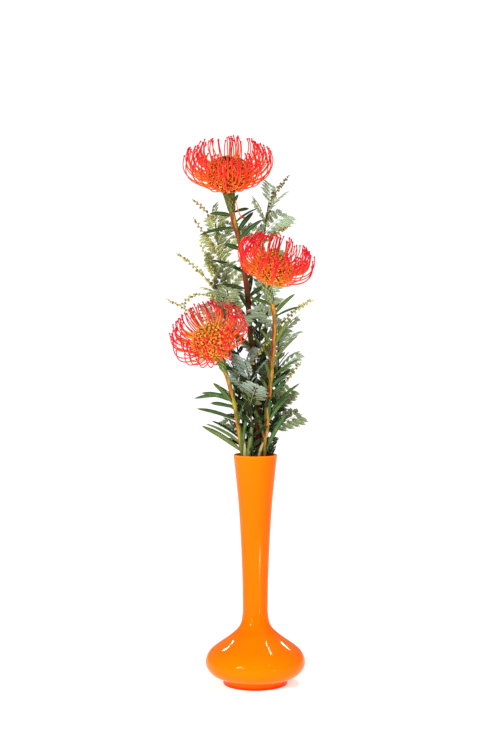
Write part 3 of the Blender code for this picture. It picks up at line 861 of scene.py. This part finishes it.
def make_vase(finish):
    """The vase as one turned piece, with a round lip."""
    inside, outside, foot = (
        [Vector((radius, 0, height)) for radius, height in side]
        for side in (VASE_INSIDE[::-1], VASE_OUTSIDE, FOOT_RING)
    )
    inside = [Vector((max(0.0, x), 0, z)) for x, _, z in smooth_route(inside, INSIDE_SPACING)]
    outside = smooth_route(outside, OUTSIDE_SPACING)
    lip = []
    for step in range(1, LIP_STEPS):
        angle = math.pi * step / LIP_STEPS
        radius = inside[-1].x + (outside[0].x - inside[-1].x) * 0.5 * (1 - math.cos(angle))
        lip.append(Vector((radius, 0, LIP_HEIGHT - LIP_ROUND * (1 - math.sin(angle)))))
    points = [*inside, *lip, *outside, *foot]
    mesh = bpy.data.meshes.new("vase_glass")
    edges = [(index, index + 1) for index in range(len(points) - 1)]
    mesh.from_pydata([MM * point for point in points], edges, [])
    vase = placed("vase_glass", mesh)
    turn = vase.modifiers.new("Turn", "SCREW")
    turn.steps = VASE_STEPS
    turn.render_steps = VASE_STEPS
    turn.use_merge_vertices = True
    turn.merge_threshold = 0.00001
    turn.use_smooth_shade = True
    dress(vase, finish, "glass", "vase")


def head_axis(flower):
    """The way a flower head faces."""
    right, along = (math.radians(angle) for angle in flower["lean"])
    across = math.cos(along)
    return Vector((math.sin(right) * across, math.sin(along), math.cos(right) * across))


def stem_route(plant):
    """A stem's line: straight up through the water, then through its own points."""
    x, y = plant["neck"]
    points = [Vector((x, y, STRAIGHT_TO)), *[Vector(point) for point in plant["route"]]]
    if "base" in plant:
        axis = head_axis(plant)
        base = Vector(plant["base"])
        points += [base - NECK * axis, base - CLEARANCE * axis]
    return [Vector((x, y, STEM_CUT)), *smooth_route(points, ROUTE_SPACING)]


def branch_radius(route, height):
    """A wattle branch thins evenly from its cut end to its tip."""
    low, high = BRANCH_RADIUS
    return low + (high - low) * (height - route[0].z) / (route[-1].z - route[0].z)


def midrib(root, up, outward, length, spread, droop, steps):
    """A line that leaves its stem `spread` degrees off it and bends by `droop` degrees more."""
    points = [root]
    for step in range(steps):
        angle = math.radians(spread + droop * step / max(1, steps - 1))
        way = math.cos(angle) * up + math.sin(angle) * outward
        points.append(points[-1] + length / steps * way)
    return points


def add_leaf(form, line, width, side, twist, chance):
    """A leaf whose section is a shallow channel, thick at the rib and thin at its edges."""

    def section_for(share):
        grown = min(1.0, 0.42 + 2.0 * share)
        taper = max(0.0, 1 - max(0.0, (share - 0.5) / 0.5) ** 2.4) ** 0.7
        half = 0.5 * width * grown * taper
        ring = []
        for across, thick in LEAF_SECTION:
            rise = LEAF_CHANNEL * half * abs(across)
            ring.append((half * across, rise + thick * LEAF_THICKNESS * (1.1 - across ** 2), across))
        return ring

    form.sweep(smooth_route(line, LEAF_SPACING), section_for, side, twist, chance)


def distances_below(route):
    """How far below the route's end each of its points is, along it."""
    below = [0.0]
    for high, low in zip(route[::-1], route[-2::-1]):
        below.append(below[-1] + (high - low).length)
    return below[::-1]


def below_tip(route, distance):
    """(place, direction) on a route, so far below its end."""
    for low, high in zip(reversed(route[:-1]), reversed(route[1:])):
        step = (high - low).length
        if distance <= step:
            break
        distance -= step
    return high.lerp(low, distance / step), (high - low).normalized()


def rolled_side(line, up, outward, roll):
    """Which way a blade lies: square to its stem, then rolled round its own midrib."""
    along = (line[1] - line[0]).normalized()
    return Matrix.Rotation(roll, 3, along) @ up.cross(outward).normalized()


def finer(route, spacing):
    """A stem's route with points `spacing` apart, but for its straight part in the water."""
    return [route[0], *smooth_route(route[1:], spacing)]


def leaf_plan(name, flower):
    """(height, azimuth, spread, length, roll) of each leaf: those at the sides, then by rule."""
    draw = draws("leaf plan", name + "_stem")
    plan = [(height, math.radians(turn), spread, length)
            for height, turn, spread, length in flower["side_leaves"]]
    first, step, count = flower["leaves"]
    length, spread = flower["leaf"]
    for index in range(count):
        azimuth = math.radians(flower["phase"]) + index * GOLDEN_ANGLE
        long = length * draw.uniform(0.8, 1.1)
        plan.append((first + step * index, azimuth, spread * draw.uniform(0.8, 1.2), long))
    return [(*leaf, draw.choice((-1, 1)) * math.radians(draw.uniform(*LEAF_ROLL))) for leaf in plan]


def make_leaves(name, flower, solid, finish):
    """The leaves of one flower stem, as the CAD node has them, and the small ones at the mouth."""
    form = Form()
    route = stem_route(flower)
    draw = draws("leaves", name)
    for height, azimuth, spread, length, roll in leaf_plan(name, flower):
        root, up = at_height(route, height)

        def line_for(outward, closer):
            start = root + LEAF_SET * flower["radius"][0] * outward
            return midrib(start, up, outward, length, spread * closer, LEAF_DROOP, 3)

        found = solid.choice(up, azimuth, line_for)
        if found:
            line, outward, _ = found
            width = flower["width"] * draw.uniform(0.92, 1.06)
            twist = draw.uniform(-LEAF_TWIST, LEAF_TWIST)
            add_leaf(form, line, width, rolled_side(line, up, outward, roll), twist, draw.random())
    for points, width, chance in flower.get("mouth_leaves", []):
        side = Vector((1, draw.uniform(-0.5, 0.5), 0))
        add_leaf(form, [Vector(point) for point in points], width, side, 0.2, chance)
    form.piece(name + "_leaves", finish, "protea_foliage", name + "_stem")


def stem_radius(flower, below):
    """A flower stem's radius at a distance below its end: it swells under the head."""
    low, high = flower["radius"]
    return low + (high - low) * smooth_step(1 - below / PEDUNCLE)


def make_bark(name, flower, finish):
    """The bare stem."""
    line = finer(stem_route(flower), BARK_SPACING)
    below = distances_below(line)
    draw = draws("bark", name)
    radii = [stem_radius(flower, distance) * draw.uniform(0.96, 1.05) for distance in below]
    form = Form()
    form.rod(line, radii, BARK_SIDES)
    form.piece(name + "_bark", finish, "protea_foliage", name + "_stem")


def make_scales(name, flower, finish):
    """Rows of small pointed scales that lap up the peduncle to the head."""
    form = Form()
    route = stem_route(flower)
    length, width = SCALE
    draw = draws("scales", name)

    def section_for(share):
        half = 0.5 * width * math.sin(math.pi * min(1.0, 0.25 + 0.75 * share)) ** 0.8
        return [(half, -0.3, 1.0), (0, 0.1, 0.0), (-half, -0.3, -1.0), (0, -0.6, 0.0)]

    for row in range(SCALE_ROWS):
        below = SCALES_FROM + SCALE_PITCH * row
        place, up = below_tip(route, below)
        for index in range(SCALES_AROUND):
            azimuth = math.tau * (index + 0.5 * (row % 2)) / SCALES_AROUND + draw.uniform(-0.12, 0.12)
            outward = sideways(up, azimuth)
            root = place + 0.8 * stem_radius(flower, below) * outward
            long = length * draw.uniform(0.8, 1.1)
            line = midrib(root, up, outward, long, SCALE_SPREAD, SCALE_DROOP, 3)
            line = smooth_route(line, SCALE_SPACING)
            form.sweep(line, section_for, up.cross(outward).normalized(), chance=draw.random())
    form.piece(name + "_scales", finish, "protea_foliage", name + "_stem")


def dome_point(polar, azimuth, reach=1.0):
    """(place, outward direction) on a head's dome of size 1, at an angle from its apex."""
    ray = Vector((math.cos(azimuth), math.sin(azimuth), 0))
    across, rise = math.sin(polar), math.cos(polar)
    place = reach * DOME_RADIUS * across * ray + 0.5 * DOME_HEIGHT * (1 + reach * rise) * UP
    way = across / DOME_RADIUS * ray + rise / (0.5 * DOME_HEIGHT) * UP
    return place, way.normalized()


def style_curve(rank, azimuth, swirl, reach):
    """The last three control points of a style, for its rank from the base (0) to the apex (1)."""
    ring = min(rank, 0.999) * (len(STYLE_CURVES) - 1)
    low = int(ring)
    controls = []
    for index in (1, 2, 3):
        a, b = (Vector(STYLE_CURVES[curve][index]) for curve in (low, low + 1))
        radius, height = reach * a.lerp(b, ring - low)
        angle = azimuth + swirl * (index - 1) / 2
        controls.append(Vector((radius * math.cos(angle), radius * math.sin(angle), height)))
    return controls


def make_head(name, flower, finishes):
    """A flower head: woolly core, curled florets and styles, each part with its own finish."""
    size = flower["head"]
    turn = UP.rotation_difference(head_axis(flower)).to_matrix()
    base = Vector(flower["base"])
    draw = draws("head", name)
    forms = {part: Form() for part in finishes}

    def put(point):
        return base + turn @ (size * point)

    add_core(forms["core"], put)
    for index in range(FLORETS):
        rank = 1 - (index + 0.5) / FLORETS
        polar = math.acos(1 - (1 - math.cos(DOME_POLAR)) * (1 - rank))
        azimuth = index * GOLDEN_ANGLE + draw.uniform(-0.06, 0.06)
        place, way = dome_point(polar + draw.uniform(-0.02, 0.02), azimuth)
        chance = draw.random()
        if rank > 1 - CLOSED_SHARE:
            add_closed_floret(forms["florets"], place, way, put, 1 + chance, draw)
            continue
        young = smooth_step((rank - 1 + YOUNG_SHARE) / YOUNG_SHARE)
        add_curls(forms["florets"], place, way, put, 1 - 0.35 * young, chance, draw)
        if rank < 1 - YOUNG_SHARE and draw.random() > BARE_SHARE:
            rank /= 1 - YOUNG_SHARE
            add_style(forms["styles"], place, way, azimuth, rank, put, chance, draw)
    for part, form in forms.items():
        form.piece(f"{name}_{part}", finishes[part], "protea_flower", name + "_head")


def add_core(form, put):
    """The dark dome that the florets stand on, closed by a flat base."""
    for ring in range(CORE_RINGS):
        polar = DOME_POLAR * (1 - ring / CORE_RINGS)
        for corner in range(CORE_AROUND):
            place, _ = dome_point(polar, math.tau * corner / CORE_AROUND, DOME_CORE)
            form.point(put(place), 0.0, 0.0, 0.0)
    apex, _ = dome_point(0.0, 0.0, DOME_CORE)
    form.point(put(apex), 1.0, 0.0, 0.0)
    form.close(0, CORE_AROUND)


def add_curls(form, place, way, put, grown, chance, draw):
    """The segments of one open floret, each rolled outwards; they are small at the apex."""
    lean = way.orthogonal().normalized()
    start = draw.uniform(0, math.tau)
    for curl in range(CURLS):
        out = Matrix.Rotation(start + math.tau * curl / CURLS, 3, way) @ lean
        roll = grown * CURL_ROLL * draw.uniform(0.8, 1.15)
        centre = place + 1.1 * way + roll * out
        line = [place - FLORET_ROOT * way, place - 0.8 * way + 0.1 * out]
        for step in range(CURL_STEPS):
            angle = CURL_STEP * step
            reach = roll * (1 - 0.05 * step)
            line.append(centre - reach * math.cos(angle) * out + reach * math.sin(angle) * way)
        width = grown * draw.uniform(0.85, 1.2)

        def section_for(share):
            half = width * (0.55 + 0.45 * math.sin(math.pi * share))
            return [(half, 0, 1.0), (0, CURL_THICK, 0.0), (-half, 0, 1.0), (0, -CURL_THICK, 0.0)]

        side = put(way.cross(out)) - put(Vector())
        form.sweep([put(point) for point in line], section_for, side, chance=chance)


def add_closed_floret(form, place, way, put, chance, draw):
    """An unopened floret at the apex: a short rod with a round top."""
    tilt = (way + Vector((draw.uniform(-0.2, 0.2), draw.uniform(-0.2, 0.2), 0.2))).normalized()
    line = [put(place + (step - 2.5) * 1.1 * tilt) for step in range(7)]
    form.tube(line, lambda share: 0.95 * (1 - 0.7 * max(0.0, share - 0.7) / 0.3), 6, chance=chance)


def add_style(form, place, way, azimuth, rank, put, chance, draw):
    """One style: it rises from its floret, bows out and comes in again to its knob."""
    swirl = draw.uniform(-0.16, 0.16)
    reach = draw.uniform(0.93, 1.02)
    b, c, d = style_curve(rank, azimuth, swirl, reach)
    start = place - 2.0 * way
    line = bezier(start, start + 0.5 * (b - start), c, d, STYLE_STEPS)
    knob = KNOB_LENGTH * (line[-1] - line[-2]).normalized()
    line += [line[-1] + share * knob for share in KNOB_SHARES]
    form.rod([put(point) for point in line], STYLE_RADII, STYLE_SIDES, chance=chance)


def make_fallen_style(finish):
    """The loose style that hangs beside the top flower's neck."""
    form = Form()
    line = smooth_route([Vector(point) for point in FALLEN_STYLE], 2.0)
    form.tube(line, lambda share: STYLE_RADIUS * (1.6 if share > 0.86 else 0.8), 6, chance=0.5)
    form.piece("fallen_style", finish, "protea_flower")


def on_line(line, share):
    """(place, direction) at a share of the way along a line of even steps."""
    where = share * (len(line) - 1)
    low = min(int(where), len(line) - 2)
    return line[low].lerp(line[low + 1], where - low), (line[low + 1] - line[low]).normalized()


def add_frond(form, line, side, size, draw):
    """A wattle leaf: a rib, and pairs of pinnae set with leaflets."""
    chance = draw.random()
    form.tube(line, lambda share: 0.5 - 0.25 * share, 5, chance=chance)
    for pair in range(PINNA_PAIRS):
        share = 0.1 + 0.76 * pair / (PINNA_PAIRS - 1)
        base, along = on_line(line, share)
        rise = along.cross(side)
        half = 0.5 * size * FROND_WIDTH * math.sin(math.pi * (0.2 + 0.62 * share)) * draw.uniform(0.9, 1.04)
        for way in (-1, 1):
            across = way * side
            tip = base + half * across + 0.6 * half * along - 0.1 * half * rise
            bend = base + 0.5 * half * across + 0.14 * half * along + 0.12 * half * rise
            pinna = bezier(base, base.lerp(bend, 0.7), bend.lerp(tip, 0.4), tip, 8)
            add_pinna(form, pinna, rise, size, chance, draw)
    add_pinna(form, line[-2:], along.cross(side), size, chance, draw)


def add_pinna(form, line, rise, size, chance, draw):
    """One pinna: a fine rib with leaflets in pairs and one at its end."""
    form.tube(line, lambda share: 0.24 - 0.1 * share, 3, chance=chance)
    length = sum((b - a).length for a, b in zip(line, line[1:]))
    pairs = max(3, round(length / LEAFLET_PITCH))
    for index in range(pairs):
        share = 0.1 + 0.9 * (index + 0.5) / pairs
        place, along = on_line(line, share)
        side = along.cross(rise).normalized()
        up = side.cross(along).normalized()
        grown = size * (0.62 + 0.5 * math.sin(math.pi * share)) * draw.uniform(0.9, 1.1)
        for way in (-1, 1):
            open_out = LEAFLET_SPREAD * draw.uniform(0.85, 1.1)
            leaf_way = math.cos(open_out) * along + math.sin(open_out) * way * side + 0.16 * up
            leaf_way.normalize()
            form.leaflet(place, leaf_way, leaf_way.cross(up).normalized(), grown, chance, share)
    form.leaflet(line[-1], along, side, 0.9 * size, chance, 1.0)


def spaced(route, low, high, count):
    """(index, place, direction) at the middles of `count` equal steps up a route."""
    for index in range(count):
        yield (index, *at_height(route, low + (high - low) * (index + 0.5) / count))


def add_tufts(form, route, tufts, draw):
    """Short shoots low on a branch, each with one small pinna. A chance below 0 gives it painted shade."""
    for index, root, up in spaced(route, *tufts):
        outward = sideways(up, index * GOLDEN_ANGLE + draw.uniform(-0.4, 0.4))
        length = TUFT_LENGTH * draw.uniform(0.7, 1.2)
        spread = draw.uniform(12, 22) if root.z < LIP_HEIGHT else draw.uniform(25, 60)
        line = midrib(root, up, outward, length, spread, draw.uniform(0, 30), TUFT_STEPS)
        facing = Vector((draw.uniform(-0.6, 0.6), -1, draw.uniform(-0.4, 0.4)))
        # A chance below 0 gives the shoot painted shade in its finish.
        add_pinna(form, line, facing, draw.uniform(0.75, 1.0), draw.uniform(-0.9, -0.3), draw)


def make_spray(name, wattle, solid, twig, leafy):
    """A wattle branch with its fronds, as the CAD node has them, and its short shoots."""
    route = stem_route(wattle)
    line = finer(route, TWIG_SPACING)
    branch = Form()
    branch.rod(line, [branch_radius(route, point.z) for point in line], TWIG_SIDES)
    branch.piece(name + "_twig", twig, "wattle_foliage", name + "_spray")
    plan = draws("frond plan", name + "_spray")
    draw = draws("fronds", name)
    fronds = Form()
    for index, root, up in spaced(route, wattle["from"], route[-1].z, wattle["fronds"]):
        azimuth = math.radians(wattle["phase"]) + index * GOLDEN_ANGLE
        spread = FROND_SPREAD * plan.uniform(0.85, 1.15)
        size = plan.uniform(0.85, 1.15)
        roll = math.radians(plan.uniform(-FROND_ROLL, FROND_ROLL))

        def line_for(outward, closer):
            length = size * (0.4 + 0.6 * closer) * FROND_LENGTH
            return midrib(root, up, outward, length, spread * closer, FROND_DROOP, FROND_STEPS)

        found = solid.choice(up, azimuth, line_for)
        if found:
            rib, outward, closer = found
            side = rolled_side(rib, up, outward, roll)
            add_frond(fronds, rib, side, size * (0.4 + 0.6 * closer), draw)
    add_tufts(fronds, route, wattle["tufts"], draw)
    fronds.piece(name + "_fronds", leafy, "wattle_foliage", name + "_spray")


def make_raceme(name, node, route, shape, solid, finish):
    """A raceme: a thin stalk with round buds on short pedicels, left and right in turn."""
    height, azimuth, spread, bend, length = shape
    root, up = at_height(route, height)
    off = branch_radius(route, height) + CLEARANCE + STALK_RADIUS
    steps = 2 * round(length / BUD_PITCH) + 1

    def line_for(outward, closer):
        return midrib(root + off * outward, up, outward, length, spread + 12 * (1 - closer), bend, steps)

    line = smooth_route(solid.choice(up, math.radians(azimuth), line_for)[0], STALK_SPACING)
    form = Form()
    form.tube(line, lambda share: 0.5 - 0.2 * share, STALK_SIDES, chance=0.3)
    draw = draws("buds", name, round(height))
    next_bud = FIRST_BUD
    travelled = 0.0
    turn = draw.uniform(0, math.tau)
    for stand, after in zip(frames(line), line[1:]):
        travelled += (after - stand[0]).length
        if travelled < next_bud:
            continue
        share = travelled / length
        next_bud += BUDS_APART * draw.uniform(0.8, 1.2) * (1 - 0.25 * share)
        turn += math.pi + draw.uniform(-0.7, 0.7)
        add_bud(form, stand, turn, 1 - 0.25 * share, draw)
        if draw.random() < PAIRED_SHARE:
            add_bud(form, stand, turn + 2.2, 0.85 - 0.3 * share, draw)
    add_bud(form, (line[-1], *stand[1:]), turn, 0.55, draw)
    form.piece(name, finish, "wattle_buds", node)


def add_bud(form, stand, azimuth, size, draw):
    """A bud on its pedicel, which stands on the stalk's (place, side, normal, along)."""
    here, side, normal, along = stand
    outward = math.cos(azimuth) * side + math.sin(azimuth) * normal
    way = (outward + 0.7 * along).normalized()
    radius = BUD_RADIUS * size * draw.uniform(0.85, 1.1)
    centre = here + (0.4 + 1.15 * radius) * way
    chance = draw.random()
    form.tube([here, here.lerp(centre, 0.6), centre], lambda share: PEDICEL_RADIUS, 4, chance=chance)
    form.ball(centre, radius, Matrix.Rotation(draw.uniform(0, math.tau), 3, way), chance)


def make_stage():
    """The pale floor, the lights, the white surroundings and the camera."""
    scene = bpy.context.scene
    bpy.ops.mesh.primitive_plane_add(size=FLOOR_SIZE * MM)
    floor = bpy.context.object
    floor.name = "floor"
    floor.data.materials.append(floor_finish().material)
    world = bpy.data.worlds.new("white surroundings")
    world.use_nodes = True
    tree = world.node_tree
    tree.nodes.clear()
    either = tree.nodes.new("ShaderNodeMixShader")
    rays = tree.nodes.new("ShaderNodeLightPath")
    tree.links.new(rays.outputs["Is Camera Ray"], either.inputs[0])
    for socket, strength in ((1, WORLD_LIGHT), (2, BACKGROUND)):
        white = tree.nodes.new("ShaderNodeBackground")
        white.inputs["Color"].default_value = (1, 1, 1, 1)
        white.inputs["Strength"].default_value = strength
        tree.links.new(white.outputs[0], either.inputs[socket])
    result = tree.nodes.new("ShaderNodeOutputWorld")
    tree.links.new(either.outputs[0], result.inputs["Surface"])
    scene.world = world
    for name, (place, target, width, height, watts) in LIGHTS.items():
        light = bpy.data.lights.new(name, "AREA")
        light.shape = "RECTANGLE"
        light.size = width * MM
        light.size_y = height * MM
        light.energy = watts
        lamp = placed(name, light)
        lamp.location = MM * Vector(place)
        lamp.rotation_euler = (Vector(target) - Vector(place)).to_track_quat("-Z", "Y").to_euler()
    lens = bpy.data.cameras.new("camera")
    lens.lens = CAMERA_LENS
    camera = placed("camera", lens)
    camera.location = MM * Vector(CAMERA_PLACE)
    camera.rotation_euler = (math.pi / 2 - CAMERA_PITCH, 0, 0)
    scene.camera = camera
    scene.view_settings.view_transform = "Standard"


def flower_finishes():
    """(leaves, bark, scales, florets, styles) of each flower."""
    red = style_finish(
        "red styles", 0.1, seen(246, 136, 46, 0.85), seen(240, 82, 34, 0.85), seen(236, 30, 42, 0.85))
    gold = style_finish(
        "golden styles", 0.55, seen(248, 168, 56, 0.85), seen(242, 94, 42, 0.85),
        seen(236, 38, 48, 0.85))
    return {
        "protea_top": (
            leaf_finish("deep protea leaf", 0.5),
            bark_finish("top stem", seen(164, 48, 38), seen(200, 168, 56), -0.22, 0.65),
            scale_finish("top scales", seen(142, 144, 72), seen(76, 86, 46)),
            floret_finish(
                "top florets", seen(252, 134, 76, 0.9), seen(228, 64, 38, 0.9), 0.4, 0.15,
                seen(92, 36, 22)),
            red,
        ),
        "protea_right": (
            leaf_finish("protea leaf", 0.12),
            bark_finish("right stem", seen(176, 60, 38), seen(214, 156, 56), -0.22, 0.0),
            scale_finish("right scales", seen(178, 188, 130), seen(106, 130, 82)),
            floret_finish(
                "right florets", seen(255, 170, 84, 0.9), seen(240, 104, 42, 0.9), 0.45, 0.75,
                seen(196, 186, 66)),
            gold,
        ),
        "protea_left": (
            leaf_finish("mid protea leaf", 0.22),
            bark_finish("left stem", seen(212, 118, 46), seen(184, 176, 58), -0.4, 0.0),
            scale_finish("left scales", seen(164, 192, 90), seen(98, 140, 72)),
            floret_finish(
                "left florets", seen(255, 178, 90, 0.9), seen(238, 112, 42, 0.9), 0.6, 0.8,
                seen(206, 190, 70)),
            gold,
        ),
    }


def frond_finishes():
    """The finish of each spray's fronds."""
    silver = frond_finish(
        "silver fronds", seen(184, 202, 160, 0.85), seen(84, 108, 70, 0.85), seen(156, 182, 166, 0.85))
    return dict.fromkeys(WATTLES, silver) | {
        "wattle_back_left": frond_finish(
            "olive fronds", seen(204, 212, 160, 0.95), seen(112, 130, 76, 0.9), seen(178, 186, 118, 0.95)),
        "wattle_back_right": frond_finish(
            "pale fronds", seen(206, 218, 180, 1.0), seen(122, 146, 104, 0.95), seen(178, 208, 184, 1.0)),
        "wattle_front": frond_finish(
            "blue fronds", seen(204, 224, 226, 0.9), seen(124, 152, 146, 0.9), seen(160, 192, 196, 0.85),
            # Strong painted shade on the lower blue fronds, fading out higher up.
            1.6, (338, 360)),
    }


def main():
    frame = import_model()
    make_stage()
    nodes = frame["nodes"]
    make_vase(vase_finish())
    dress(nodes["water"], water_finish(), "water")
    core = core_finish()
    finishes = flower_finishes()
    for name, flower in FLOWERS.items():
        leafy, bark, scaly, florets, styles = finishes[name]
        make_bark(name, flower, bark)
        make_leaves(name, flower, Solid(nodes[name + "_stem"]), leafy)
        make_scales(name, flower, scaly)
        make_head(name, flower, {"core": core, "florets": florets, "styles": styles})
    make_fallen_style(finishes["protea_top"][-1])
    twig = twig_finish()
    fronds = frond_finishes()
    olive_buds = bud_finish("olive buds", seen(212, 200, 98, 0.9), seen(156, 148, 66, 0.9))
    brown_buds = bud_finish("brown buds", seen(192, 172, 88, 0.9), seen(134, 116, 60, 0.9))
    for name, wattle in WATTLES.items():
        make_spray(name, wattle, Solid(nodes[name + "_spray"]), twig, fronds[name])
        buds = brown_buds if name.startswith("wattle_back_") else olive_buds
        for index, shape in enumerate(wattle["racemes"], 1):
            piece, node = f"{name}_buds_{index}", f"{name}_raceme_{index}"
            make_raceme(piece, node, stem_route(wattle), shape, Solid(nodes[node]), buds)


main()
